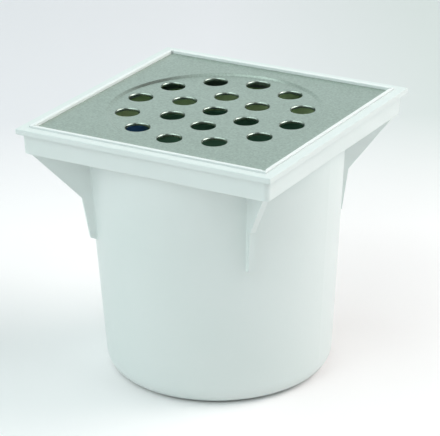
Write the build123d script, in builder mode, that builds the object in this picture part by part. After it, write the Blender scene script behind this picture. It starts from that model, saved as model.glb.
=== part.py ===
"""Square floor gully with a lift-out water trap, in millimetres, +Z up, standing on its drum."""
import os
from math import cos, radians, sin, sqrt, tan

from build123d import *

# Lip and tray, the square head of the moulding
lip_size = 150.0
lip_top = 144.0
lip_thickness = 2.8
lip_overhang = 2.3
lip_corner_radius = 0.8
lip_edge_radius = 0.5
tray_depth = 11.2
tray_wall = 3.8
rebate_ledge = 0.9
tray_floor = 3.0
tray_draft = 3.0
tray_corner_radius = 2.4
tray_edge_radius = 0.7

# Drum, set in from the tray's wall
drum_inset = 3.7
drum_draft = 3.58
drum_wall = 3.0
drum_floor = 3.0
drum_base_radius = 10.0

# Gussets, one on each diagonal between the drum and the tray's corner
gusset_thickness = 3.0
gusset_corner_inset = 3.5
gusset_knee_drop = 27.8
gusset_knee_reach = 5.9
gusset_foot_drop = 50.5
gusset_foot_reach = 3.7
gusset_foot_slope = 2.0
gusset_root_radius = 0.8

# Outlet spigot at the rear, with a thicker root that stops the pipe's socket
outlet_diameter = 50.0
outlet_wall = 3.0
outlet_headroom = 1.0
outlet_length = 22.2
outlet_root_wall = 3.0
outlet_root_land = 2.5
outlet_root_radius = 1.5
outlet_end_chamfer = 1.2

# Grate frame, which hangs by its bead in the lip's rebate
frame_bead_width = 2.0
frame_bead_rise = 1.0
frame_bead_edge = 0.45
frame_collar_wall = 2.2
frame_floor_gap = 1.5
frame_seat_width = 4.1
frame_seat_thickness = 2.2
frame_notch_width = 1.6
frame_notch_reach = 0.5
frame_notch_round = 1.3
frame_clearance = 0.1

# Grate, a pressed sheet with a sunk disc
grate_thickness = 1.5
grate_sink = 0.6
grate_clearance = 0.2
grate_corner_radius = 0.6
disc_margin = 12.5
disc_depth = 1.0
disc_step_run = 2.0
disc_bend_radius = 1.2
hole_diameter = 12.8
hole_edge_radius = 0.75
ring_margin = 9.2
outer_ring_count = 12
inner_ring_count = 6
inner_ring_start = 45.0

# Trap insert and its seal
seat_drop = 20.0
seat_width = 2.6
insert_clearance = 0.6
insert_wall = 2.2
insert_rim_height = 10.0
insert_rim_wall = 2.8
insert_edge_radius = 0.6
bowl_slope = 12.0
bowl_throat_radius = 4.0
dip_diameter = 48.0
dip_gap = 9.0
lift_bar_thickness = 3.0
lift_bar_height = 22.0
lift_bar_rise = 10.0
lift_bar_corner = 5.0
seal_groove_depth = 1.3
seal_groove_height = 4.0
seal_groove_lift = 3.2
seal_clearance = 0.1

# Levels and half sizes that follow from the sizes above
lip_bottom = lip_top - lip_thickness
tray_bottom = lip_bottom - tray_depth
lip_half = lip_size / 2
tray_half = lip_half - lip_overhang
tray_bottom_half = tray_half - tray_depth * tan(radians(tray_draft))
drum_foot_radius = tray_bottom_half - drum_inset - tray_bottom * tan(radians(drum_draft))
tray_inner_half = tray_half - tray_wall
tray_floor_top = tray_bottom + tray_floor
rebate_half = tray_inner_half + rebate_ledge
collar_half = tray_inner_half - frame_clearance
bead_half = rebate_half - frame_clearance
bead_top = lip_top + frame_bead_rise
opening_half = bead_half - frame_bead_width
grate_half = opening_half - grate_clearance
grate_top = lip_top - grate_sink
grate_seat = grate_top - grate_thickness
disc_radius = grate_half - disc_margin
pressed_radius = disc_radius + 2 * disc_step_run
outer_ring_radius = disc_radius - ring_margin
inner_ring_radius = outer_ring_radius / 2
seat_height = tray_bottom - seat_drop
outlet_radius = outlet_diameter / 2
outlet_height = seat_height - outlet_headroom - outlet_radius
outlet_root_outer = outlet_radius + outlet_root_wall
outlet_bore_radius = outlet_radius - outlet_wall
dip_radius = dip_diameter / 2
dip_mouth = drum_floor + dip_gap


def drum_radius(height):
    """Outer radius of the drum's slanted wall at a height above the floor."""
    return drum_foot_radius + height * tan(radians(drum_draft))


def upright_plane(angle):
    """Vertical plane through the drum's axis, whose x runs outwards at an angle in degrees."""
    turn = radians(angle)
    return Plane(origin=(0, 0, 0), x_dir=(cos(turn), sin(turn), 0), z_dir=(sin(turn), -cos(turn), 0))


bore_radius = drum_radius(seat_height) - drum_wall
seat_radius = bore_radius - seat_width
outlet_shoulder = drum_radius(outlet_height + outlet_root_outer) + outlet_root_land
outlet_end = outlet_shoulder + outlet_length
corner_angles = [45, 135, 225, 315]

os.makedirs("parts", exist_ok=True)

# Body: drum, tray, lip, gussets and outlet in one moulding
with BuildPart() as body:
    with BuildSketch(Plane.XY.offset(tray_bottom)):
        RectangleRounded(2 * tray_bottom_half, 2 * tray_bottom_half, tray_corner_radius)
    extrude(amount=tray_depth, taper=-tray_draft)
    fillet(body.faces().sort_by(Axis.Z)[0].edges(), radius=tray_edge_radius)
    with BuildSketch(Plane.XY.offset(lip_bottom)):
        RectangleRounded(lip_size, lip_size, lip_corner_radius)
    extrude(amount=lip_thickness)
    fillet(body.faces().sort_by(Axis.Z)[-1].edges(), radius=lip_edge_radius)

    with BuildSketch(Plane.XZ) as drum_outline:
        with BuildLine():
            Polyline(
                (0, 0),
                (drum_foot_radius, 0),
                (drum_radius(tray_floor_top), tray_floor_top),
                (0, tray_floor_top),
                close=True,
            )
        make_face()
        foot = drum_outline.vertices().group_by(Axis.Y)[0].sort_by(Axis.X)[-1]
        fillet(foot, radius=drum_base_radius)
    revolve(axis=Axis.Z)

    with BuildSketch(Plane.XZ.offset(-outlet_shoulder)):
        with Locations((0, outlet_height)):
            Circle(outlet_root_outer)
    extrude(amount=outlet_shoulder)
    curved_edges = body.edges(Select.LAST).filter_by(GeomType.LINE, reverse=True)
    outlet_root = curved_edges.filter_by(GeomType.CIRCLE, reverse=True)
    fillet(outlet_root, radius=outlet_root_radius)
    with BuildSketch(Plane.XZ.offset(-outlet_end)):
        with Locations((0, outlet_height)):
            Circle(outlet_radius)
    extrude(amount=outlet_length)

    for angle in corner_angles:
        with BuildSketch(upright_plane(angle)):
            with BuildLine():
                knee_height = tray_bottom - gusset_knee_drop
                foot_height = tray_bottom - gusset_foot_drop
                Polyline(
                    (drum_radius(tray_bottom) - drum_wall / 2, tray_bottom + tray_floor / 2),
                    (tray_bottom_half * sqrt(2) - gusset_corner_inset, tray_bottom + tray_floor / 2),
                    (tray_bottom_half * sqrt(2) - gusset_corner_inset, tray_bottom),
                    (drum_radius(knee_height) + gusset_knee_reach, knee_height),
                    (drum_radius(foot_height) + gusset_foot_reach, foot_height),
                    (drum_radius(foot_height) - drum_wall / 2, foot_height - gusset_foot_slope),
                    close=True,
                )
            make_face()
        extrude(amount=gusset_thickness / 2, both=True)
    gusset_roots = body.edges().filter_by(GeomType.HYPERBOLA)
    fillet(gusset_roots, radius=gusset_root_radius)

    with BuildSketch(Plane.XZ) as drum_bore:
        with BuildLine():
            Polyline(
                (0, drum_floor),
                (drum_foot_radius - drum_wall, drum_floor),
                (seat_radius, seat_height),
                (bore_radius, seat_height),
                (drum_radius(lip_top) - drum_wall, lip_top),
                (0, lip_top),
                close=True,
            )
        make_face()
        bore_foot = drum_bore.vertices().group_by(Axis.Y)[0].sort_by(Axis.X)[-1]
        fillet(bore_foot, radius=drum_base_radius - drum_wall)
    revolve(axis=Axis.Z, mode=Mode.SUBTRACT)
    with BuildSketch(Plane.XY.offset(tray_floor_top)):
        Rectangle(2 * tray_inner_half, 2 * tray_inner_half)
    extrude(until=Until.LAST, mode=Mode.SUBTRACT)
    with BuildSketch(Plane.XY.offset(lip_bottom)):
        Rectangle(2 * rebate_half, 2 * rebate_half)
    extrude(amount=lip_thickness, mode=Mode.SUBTRACT)
    with BuildSketch(Plane.XZ.offset(-outlet_end)):
        with Locations((0, outlet_height)):
            Circle(outlet_bore_radius)
    extrude(amount=outlet_end, mode=Mode.SUBTRACT)
    outlet_rim = body.faces().sort_by(Axis.Y)[-1].edges().sort_by(SortBy.LENGTH)[-1]
    chamfer(outlet_rim, length=outlet_end_chamfer)
body.part.label = "body"
export_step(body.part, "parts/body.step")

# Grate frame: a bead in the rebate, a seat for the grate and a collar inside the tray
with BuildPart() as grate_frame:
    with BuildSketch(Plane.XY.offset(lip_bottom)):
        Rectangle(2 * bead_half, 2 * bead_half)
        Rectangle(2 * opening_half, 2 * opening_half, mode=Mode.SUBTRACT)
    extrude(amount=bead_top - lip_bottom)
    with BuildSketch(Plane.XY.offset(grate_seat)):
        seat_opening = 2 * (opening_half - frame_seat_width)
        Rectangle(2 * collar_half, 2 * collar_half)
        Rectangle(seat_opening, seat_opening, mode=Mode.SUBTRACT)
    extrude(amount=-frame_seat_thickness)
    with BuildSketch(Plane.XY.offset(tray_floor_top + frame_floor_gap)):
        collar_opening = 2 * (collar_half - frame_collar_wall)
        Rectangle(2 * collar_half, 2 * collar_half)
        Rectangle(collar_opening, collar_opening, mode=Mode.SUBTRACT)
    extrude(amount=grate_seat - frame_seat_thickness - tray_floor_top - frame_floor_gap)
    with BuildSketch(Plane.XY.offset(grate_seat)):
        notch_length = 4 * frame_bead_width
        notch_end = (opening_half + frame_notch_reach) * sqrt(2)
        with PolarLocations(notch_end - notch_length / 2, 4, start_angle=45):
            SlotOverall(notch_length, frame_notch_width)
    extrude(until=Until.LAST, mode=Mode.SUBTRACT)
    notch_edges = grate_frame.edges().filter_by(Axis.Z).group_by(Axis.Z)[-1]
    inside_notch = opening_half + frame_notch_reach / 2
    bead_ends = notch_edges.filter_by_position(Axis.X, -inside_notch, inside_notch)
    bead_ends = bead_ends.filter_by_position(Axis.Y, -inside_notch, inside_notch)
    fillet(bead_ends, radius=frame_notch_round)
    bead_edges = grate_frame.faces().group_by(Axis.Z)[-1].edges()
    fillet(bead_edges, radius=frame_bead_edge)
grate_frame.part.label = "grate_frame"
export_step(grate_frame.part, "parts/grate_frame.step")

# Grate: a flat square sheet whose round middle is pressed down and punched
with BuildPart() as grate:
    with BuildSketch(Plane.XY.offset(grate_seat)):
        RectangleRounded(2 * grate_half, 2 * grate_half, grate_corner_radius)
        Circle(pressed_radius, mode=Mode.SUBTRACT)
    extrude(amount=grate_thickness)
    with BuildSketch(Plane.XZ):
        with BuildLine():
            step_points = [
                (0, -disc_depth),
                (disc_radius, -disc_depth),
                (disc_radius + disc_step_run, 0),
                (pressed_radius, 0),
            ]
            upper = FilletPolyline(*[(r, grate_top + z) for r, z in step_points], radius=disc_bend_radius)
            lower = FilletPolyline(*[(r, grate_seat + z) for r, z in step_points], radius=disc_bend_radius)
            Line(upper @ 0, lower @ 0)
            Line(upper @ 1, lower @ 1)
        make_face()
    revolve(axis=Axis.Z)
    with Locations((0, 0, grate_top)):
        Hole(hole_diameter / 2)
        with PolarLocations(inner_ring_radius, inner_ring_count, start_angle=inner_ring_start):
            Hole(hole_diameter / 2)
        with PolarLocations(outer_ring_radius, outer_ring_count):
            Hole(hole_diameter / 2)
    disc_top = grate_top - disc_depth
    hole_edges = grate.edges().filter_by(GeomType.CIRCLE).filter_by_position(
        Axis.Z, disc_top - hole_edge_radius, disc_top + hole_edge_radius
    )
    fillet([edge for edge in hole_edges if edge.radius < hole_diameter], radius=hole_edge_radius)
grate.part.label = "grate"
export_step(grate.part, "parts/grate.step")

# Trap insert: rim with a seal groove, bowl, dip tube and lift bar in one moulding
insert_radius = bore_radius - insert_clearance
rim_inner = insert_radius - insert_rim_wall
rim_top = seat_height + insert_rim_height
dip_inner = dip_radius - insert_wall
bowl_rise = tan(radians(bowl_slope))
bowl_skin = insert_wall / cos(radians(bowl_slope))
throat = seat_height - (rim_inner - dip_inner) * bowl_rise + bowl_skin
groove_bottom = seat_height + seal_groove_lift
groove_top = groove_bottom + seal_groove_height
groove_radius = insert_radius - seal_groove_depth
with BuildPart() as trap_insert:
    with BuildSketch(Plane.XZ) as insert_section:
        with BuildLine():
            Polyline(
                (insert_radius, seat_height),
                (insert_radius, rim_top),
                (rim_inner, rim_top),
                (rim_inner, seat_height + bowl_skin),
                (dip_inner, throat),
                (dip_inner, dip_mouth),
                (dip_radius, dip_mouth),
                (dip_radius, seat_height - (rim_inner - dip_radius) * bowl_rise),
                (rim_inner, seat_height),
                close=True,
            )
        make_face()
        throat_corner = insert_section.vertices().sort_by_distance((dip_inner, throat))[0]
        fillet(throat_corner, radius=bowl_throat_radius)
        rim_corners = insert_section.vertices().group_by(Axis.Y)[-1]
        fillet(rim_corners, radius=insert_edge_radius)
        with Locations((groove_radius, groove_bottom)):
            Rectangle(
                2 * seal_groove_depth,
                seal_groove_height,
                align=(Align.MIN, Align.MIN),
                mode=Mode.SUBTRACT,
            )
    revolve(axis=Axis.Z)
    with BuildSketch(Plane.XZ):
        with Locations((0, throat + lift_bar_rise)):
            RectangleRounded(
                2 * dip_inner + insert_wall,
                lift_bar_height,
                lift_bar_corner,
                align=(Align.CENTER, Align.MAX),
            )
    extrude(amount=lift_bar_thickness / 2, both=True)
trap_insert.part.label = "trap_insert"
export_step(trap_insert.part, "parts/trap_insert.step")

# Seal: a rubber ring whose lip reaches the drum's wall
with BuildPart() as insert_seal:
    with BuildSketch(Plane.XZ):
        with BuildLine():
            lip_low = groove_bottom + seal_groove_height / 3
            lip_high = groove_top - seal_groove_height / 3
            seal_reach = drum_wall + seal_clearance
            Polyline(
                (groove_radius + seal_clearance, groove_bottom),
                (insert_radius, groove_bottom),
                (drum_radius(lip_low) - seal_reach, lip_low),
                (drum_radius(lip_high) - seal_reach, lip_high),
                (insert_radius, groove_top - seal_clearance),
                (groove_radius + seal_clearance, groove_top - seal_clearance),
                close=True,
            )
        make_face()
    revolve(axis=Axis.Z)
insert_seal.part.label = "insert_seal"
export_step(insert_seal.part, "parts/insert_seal.step")
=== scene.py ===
"""Looks of a square floor gully that stands on a pale studio floor, in metres."""
from math import cos, pi, radians, sin

import bpy
from mathutils import Matrix, Vector


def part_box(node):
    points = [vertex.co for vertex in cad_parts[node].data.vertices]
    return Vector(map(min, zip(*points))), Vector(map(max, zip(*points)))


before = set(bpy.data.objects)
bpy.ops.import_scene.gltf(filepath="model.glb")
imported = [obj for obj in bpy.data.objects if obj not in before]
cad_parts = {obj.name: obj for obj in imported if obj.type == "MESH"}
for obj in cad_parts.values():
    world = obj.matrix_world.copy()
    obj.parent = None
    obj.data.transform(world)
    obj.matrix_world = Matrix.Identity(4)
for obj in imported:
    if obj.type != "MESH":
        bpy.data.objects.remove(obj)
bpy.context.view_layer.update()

# Camera, solved from the head's corners, the grate's holes and the drum's outline
IMAGE_WIDTH_PIXELS = 440
FOCAL_PIXELS = 2431
SENSOR_WIDTH_MM = 36
VIEW_AZIMUTH = radians(30.8)  # of the picture's right-hand side
VIEW_ELEVATION = radians(22.43)
VIEW_ROLL = radians(-1.07)
VIEW_DISTANCE = 1.2694
AIM_RIGHT = 0.0026
AIM_UP = -0.0575

# Soft boxes by azimuth, elevation, distance, width, brightness of white that faces the box, and colour
WARM = (1.0, 0.85, 0.83)
COOL = (0.875, 1.0, 1.0)
SOFT_BOXES = {
    "key_light": (radians(40), radians(45), 1.7, 1.0, 0.40, WARM),
    "front_light": (radians(275), radians(45), 1.7, 1.0, 0.19, COOL),
    "left_panel": (radians(225), radians(45), 2.2, 3.4, 0.96, COOL),
    "right_panel": (radians(20), radians(35), 2.2, 2.2, 0.55, COOL),
    "back_panel": (radians(120), radians(22), 2.2, 2.2, 0.26, COOL),
    "top_light": (radians(140), radians(72), 1.7, 1.0, 0.09, COOL),
}

# Floor, and the backdrop that it turns into between two depths behind the object
WALL_COLOUR = (0.02, 0.02, 0.02)
FLOOR_HALF = 4.0
FLOOR_COLOUR = (0.975, 0.94, 0.94)
FLOOR_ROUGHNESS = 0.9
FLOOR_SHEEN = 0.0
# Painted shade: the backdrop is darker to the picture's right than to its left
BACKDROP_LEFT = (0.815, 0.80, 0.825)
BACKDROP_RIGHT = (0.685, 0.72, 0.705)
BACKDROP_START = 0.18
BACKDROP_END = 0.38
BACKDROP_HALF_WIDTH = 0.16

# Colours of the object's materials
PVC_LIGHT = (0.745, 0.795, 0.78)
PVC_SHADE = (0.722, 0.782, 0.762)
# Painted shade: the olive tint that the dim light gives the drum's inside walls
PVC_INSIDE_PAINTED_SHADE = (0.78, 0.95, 0.50)
FRAME_LIGHT = (0.85, 0.875, 0.865)
FRAME_SHADE = (0.825, 0.86, 0.845)
STEEL_LIGHT = (0.55, 0.63, 0.565)
STEEL_SHADE = (0.475, 0.555, 0.49)
STEEL_SPECK = (0.325, 0.38, 0.335)
INSERT_LIGHT = (0.10, 0.23, 0.155)
INSERT_SHADE = (0.07, 0.17, 0.11)
INSERT_DAB = (0.052, 0.142, 0.34)
RUBBER_LIGHT = (0.030, 0.030, 0.032)
RUBBER_SHADE = (0.018, 0.018, 0.020)

# Finish of the materials: sheen, and the smoothest and roughest places
PLASTIC_SHEEN = 0.3
PVC_ROUGHNESS = (0.30, 0.40)
FRAME_ROUGHNESS = (0.28, 0.38)
INSERT_ROUGHNESS = (0.38, 0.48)
STEEL_ROUGHNESS = (0.28, 0.36)
RUBBER_ROUGHNESS = (0.6, 0.8)

# Marks on the materials: sizes, depths, and the detail and usual range of their cloudy values
CLOUD_DETAIL = 3.0
CLOUD_LOW = 0.3
CLOUD_HIGH = 0.7
MOTTLE_SIZE = 0.045
PEEL_SIZE = 0.0016
PEEL_DEPTH = 0.00003
PEEL_DETAIL = 2.0
DRAW_MARK_WIDTH = 0.004
DRAW_MARK_LENGTH = 0.12
GRAIN_WIDTH = 0.00025
GRAIN_LENGTH = 0.012
GRAIN_DEPTH = 0.00001
GRAIN_DETAIL = 4.0
SMEAR_SIZE = 0.028
SPECK_SIZE = 0.0011
SPECK_SHARE = 0.65
SPECK_DETAIL = 2.0
DAB_PLACE = (-0.060, 0.014, 0.118)
DAB_SIZE = 0.012
# Radius and fade of the painted shade on the drum's inside walls
INSIDE_RADIUS = 0.068
INSIDE_FADE = 0.004

# Numbers of the colour sockets on a mix node, whose names repeat for each type of data
MIX_FIRST = 6
MIX_SECOND = 7
MIX_RESULT = 2


def add_node(tree, kind, inputs=None, **settings):
    """A shader node with its settings and inputs, where an input is a value or another node's socket."""
    node = tree.nodes.new(kind)
    for name, value in settings.items():
        setattr(node, name, value)
    for name, value in (inputs or {}).items():
        if isinstance(value, bpy.types.NodeSocket):
            tree.links.new(value, node.inputs[name])
        else:
            node.inputs[name].default_value = value
    return node


def opaque(colour):
    """A colour with full alpha."""
    return (*colour, 1.0)


def noise(tree, size, detail=CLOUD_DETAIL):
    """Cloudy values from 0 to 1, whose marks have a size in metres along each axis of the object."""
    sizes = size if isinstance(size, tuple) else (size, size, size)
    place = add_node(tree, "ShaderNodeTexCoord").outputs["Object"]
    scaled = add_node(tree, "ShaderNodeMapping", {"Vector": place, "Scale": [1 / s for s in sizes]})
    cloud = {"Vector": scaled.outputs["Vector"], "Scale": 1.0, "Detail": detail}
    return add_node(tree, "ShaderNodeTexNoise", cloud).outputs["Fac"]


def spread(tree, value, low, high, start=CLOUD_LOW, end=CLOUD_HIGH):
    """A value stretched from the range start to end onto the range low to high."""
    ranges = {"Value": value, "From Min": start, "From Max": end, "To Min": low, "To Max": high}
    return add_node(tree, "ShaderNodeMapRange", ranges).outputs["Result"]


def vector_value(tree, operation, first, second=(0, 0, 0)):
    """The number that an operation makes of one or two vectors, each fixed or another node's socket."""
    vectors = {0: first, 1: second}
    return add_node(tree, "ShaderNodeVectorMath", vectors, operation=operation).outputs["Value"]


def blend_colours(tree, share, first, second):
    """A colour between two, by a share from 0 to 1, where each is fixed or another node's socket."""
    mix = add_node(tree, "ShaderNodeMix", {"Factor": share}, data_type="RGBA")
    for socket, colour in ((mix.inputs[MIX_FIRST], first), (mix.inputs[MIX_SECOND], second)):
        if isinstance(colour, bpy.types.NodeSocket):
            tree.links.new(colour, socket)
        else:
            socket.default_value = opaque(colour)
    return mix.outputs[MIX_RESULT]


def bump(tree, height, depth):
    """A surface whose normal is tilted by a height of a depth in metres."""
    inputs = {"Height": height, "Strength": 1.0, "Distance": depth}
    return add_node(tree, "ShaderNodeBump", inputs).outputs["Normal"]


def new_material(name):
    """A new material, with its node tree and its surface shader."""
    material = bpy.data.materials.new(name)
    material.use_nodes = True
    tree = material.node_tree
    return material, tree, tree.nodes["Principled BSDF"]


def inside(tree):
    """1 on walls inside the drum, which face its upright axis, and 0 on all others; it places the painted
    shade inside the drum.
    """
    surface = add_node(tree, "ShaderNodeTexCoord").outputs
    without_height = {0: surface["Object"], 1: (1, 1, 0)}
    level = add_node(tree, "ShaderNodeVectorMath", without_height, operation="MULTIPLY")
    outwards = level.outputs["Vector"]
    radius = vector_value(tree, "LENGTH", outwards)
    facing = vector_value(tree, "DOT_PRODUCT", outwards, surface["Normal"])
    within = spread(tree, radius, 1, 0, INSIDE_RADIUS, INSIDE_RADIUS + INSIDE_FADE)
    inwards = spread(tree, facing, 1, 0, -INSIDE_FADE, 0)
    return add_node(tree, "ShaderNodeMath", {0: within, 1: inwards}, operation="MULTIPLY").outputs["Value"]


def dab(tree):
    """1 in the middle of the dab on the insert's rim, and 0 away from it."""
    place = add_node(tree, "ShaderNodeTexCoord").outputs["Object"]
    away = vector_value(tree, "DISTANCE", place, DAB_PLACE)
    return spread(tree, away, 1, 0, DAB_SIZE / 2, DAB_SIZE)


def moulded_plastic(name, light, shade, roughness, painted_shade_and_dab=None, painted_shade_and_dab_share=None):
    """Moulded plastic: faint mottling, a fine peel, soft marks along the way it left the mould, and
    a second colour where a given function says: painted shade on the drum's inside walls, and a blue dab
    on the insert's rim."""
    material, tree, surface = new_material(name)
    mottle = noise(tree, MOTTLE_SIZE)
    draw_marks = noise(tree, (DRAW_MARK_WIDTH, DRAW_MARK_WIDTH, DRAW_MARK_LENGTH))
    colour = blend_colours(tree, spread(tree, mottle, 0, 1), light, shade)
    # A second colour: painted shade inside the drum, and the blue dab on the insert's rim
    if painted_shade_and_dab_share:
        colour = blend_colours(tree, painted_shade_and_dab_share(tree), colour, painted_shade_and_dab)
    tree.links.new(colour, surface.inputs["Base Color"])
    tree.links.new(spread(tree, draw_marks, *roughness), surface.inputs["Roughness"])
    surface.inputs["Specular IOR Level"].default_value = PLASTIC_SHEEN
    peel = bump(tree, noise(tree, PEEL_SIZE, PEEL_DETAIL), PEEL_DEPTH)
    tree.links.new(peel, surface.inputs["Normal"])
    return material


def satin_steel(name):
    """Satin stainless sheet: fine grain along X, a dull speckle, and faint smears in its gloss."""
    material, tree, surface = new_material(name)
    grain = noise(tree, (GRAIN_LENGTH, GRAIN_WIDTH, GRAIN_LENGTH), GRAIN_DETAIL)
    smears = noise(tree, SMEAR_SIZE)
    sheet = blend_colours(tree, spread(tree, grain, 0, 1), STEEL_LIGHT, STEEL_SHADE)
    specks = spread(tree, noise(tree, SPECK_SIZE, SPECK_DETAIL), 0, SPECK_SHARE)
    tree.links.new(blend_colours(tree, specks, sheet, STEEL_SPECK), surface.inputs["Base Color"])
    tree.links.new(spread(tree, smears, *STEEL_ROUGHNESS), surface.inputs["Roughness"])
    tree.links.new(bump(tree, grain, GRAIN_DEPTH), surface.inputs["Normal"])
    surface.inputs["Metallic"].default_value = 1.0
    return material


def rubber(name):
    """Black rubber with a dusty, uneven sheen."""
    material, tree, surface = new_material(name)
    mottle = noise(tree, MOTTLE_SIZE)
    colour = blend_colours(tree, spread(tree, mottle, 0, 1), RUBBER_LIGHT, RUBBER_SHADE)
    tree.links.new(colour, surface.inputs["Base Color"])
    tree.links.new(spread(tree, noise(tree, PEEL_SIZE), *RUBBER_ROUGHNESS), surface.inputs["Roughness"])
    return material


def dress(node, material):
    """Gives a node of the frame its material."""
    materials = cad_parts[node].data.materials
    materials.clear()
    materials.append(material)


def from_angles(azimuth, elevation):
    """The unit vector towards an azimuth, counted from +X, and an elevation."""
    return Vector((cos(azimuth) * cos(elevation), sin(azimuth) * cos(elevation), sin(elevation)))


def floor_material():
    """Pale floor that turns to a light backdrop behind the object, with painted shade that makes the
    backdrop darker to the picture's right.
    """
    material, tree, surface = new_material("studio_floor")
    place = add_node(tree, "ShaderNodeTexCoord").outputs["Object"]
    side = vector_value(tree, "DOT_PRODUCT", place, from_angles(VIEW_AZIMUTH, 0))
    depth = vector_value(tree, "DOT_PRODUCT", place, from_angles(VIEW_AZIMUTH + pi / 2, 0))
    across = spread(tree, side, 0, 1, 0, BACKDROP_HALF_WIDTH)
    behind = spread(tree, depth, 0, 1, BACKDROP_START, BACKDROP_END)
    backdrop = blend_colours(tree, across, BACKDROP_LEFT, BACKDROP_RIGHT)
    tree.links.new(blend_colours(tree, behind, FLOOR_COLOUR, backdrop), surface.inputs["Base Color"])
    surface.inputs["Roughness"].default_value = FLOOR_ROUGHNESS
    surface.inputs["Specular IOR Level"].default_value = FLOOR_SHEEN
    return material


def add_floor():
    """Floor under the object, as a large flat sheet."""
    mesh = bpy.data.meshes.new("floor")
    corners = [(x * FLOOR_HALF, y * FLOOR_HALF, 0) for x, y in ((-1, -1), (1, -1), (1, 1), (-1, 1))]
    mesh.from_pydata(corners, [], [(0, 1, 2, 3)])
    mesh.materials.append(floor_material())
    floor = bpy.data.objects.new("floor", mesh)
    bpy.context.scene.collection.objects.link(floor)


def add_soft_box(name, azimuth, elevation, distance, width, brightness, colour):
    """Square lamp that looks at the object and gives a white surface that faces it a brightness."""
    lamp = bpy.data.lights.new(name, "AREA")
    lamp.size = width
    lamp.color = colour
    lamp.energy = brightness * (pi * distance) ** 2
    box = bpy.data.objects.new(name, lamp)
    towards = from_angles(azimuth, elevation)
    box.location = towards * distance
    box.rotation_euler = towards.to_track_quat("Z", "Y").to_euler()
    bpy.context.scene.collection.objects.link(box)


def add_world():
    """Dark studio walls, so that the soft boxes give nearly all the light."""
    world = bpy.data.worlds.new("studio")
    world.use_nodes = True
    walls = world.node_tree.nodes["Background"]
    walls.inputs["Color"].default_value = opaque(WALL_COLOUR)
    bpy.context.scene.world = world


def add_camera():
    """Camera at the photograph's angle, placed from the middle of the lip's top."""
    lens = bpy.data.cameras.new("camera")
    lens.sensor_width = SENSOR_WIDTH_MM
    lens.lens = SENSOR_WIDTH_MM * FOCAL_PIXELS / IMAGE_WIDTH_PIXELS
    back = from_angles(VIEW_AZIMUTH - pi / 2, VIEW_ELEVATION)
    level = from_angles(VIEW_AZIMUTH, 0)
    above = back.cross(level)
    right = level * cos(VIEW_ROLL) + above * sin(VIEW_ROLL)
    up = back.cross(right)
    head = Vector((0, 0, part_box("body")[1].z))
    camera = bpy.data.objects.new("camera", lens)
    turn = Matrix((right, up, back)).transposed()
    place = head + back * VIEW_DISTANCE + right * AIM_RIGHT + up * AIM_UP
    camera.matrix_world = Matrix.Translation(place) @ turn.to_4x4()
    bpy.context.scene.collection.objects.link(camera)
    bpy.context.scene.camera = camera


# The body's inside walls get painted shade, an olive tint, where the drum is dim
dress("body", moulded_plastic("white_pvc", PVC_LIGHT, PVC_SHADE, PVC_ROUGHNESS, PVC_INSIDE_PAINTED_SHADE, inside))
dress("grate_frame", moulded_plastic("frame_pvc", FRAME_LIGHT, FRAME_SHADE, FRAME_ROUGHNESS))
dress("grate", satin_steel("satin_steel"))
dress(
    "trap_insert",
    moulded_plastic("green_plastic", INSERT_LIGHT, INSERT_SHADE, INSERT_ROUGHNESS, INSERT_DAB, dab),
)
dress("insert_seal", rubber("seal_rubber"))

add_floor()
add_world()
for name, setting in SOFT_BOXES.items():
    add_soft_box(name, *setting)
add_camera()
bpy.context.scene.view_settings.view_transform = "Standard"
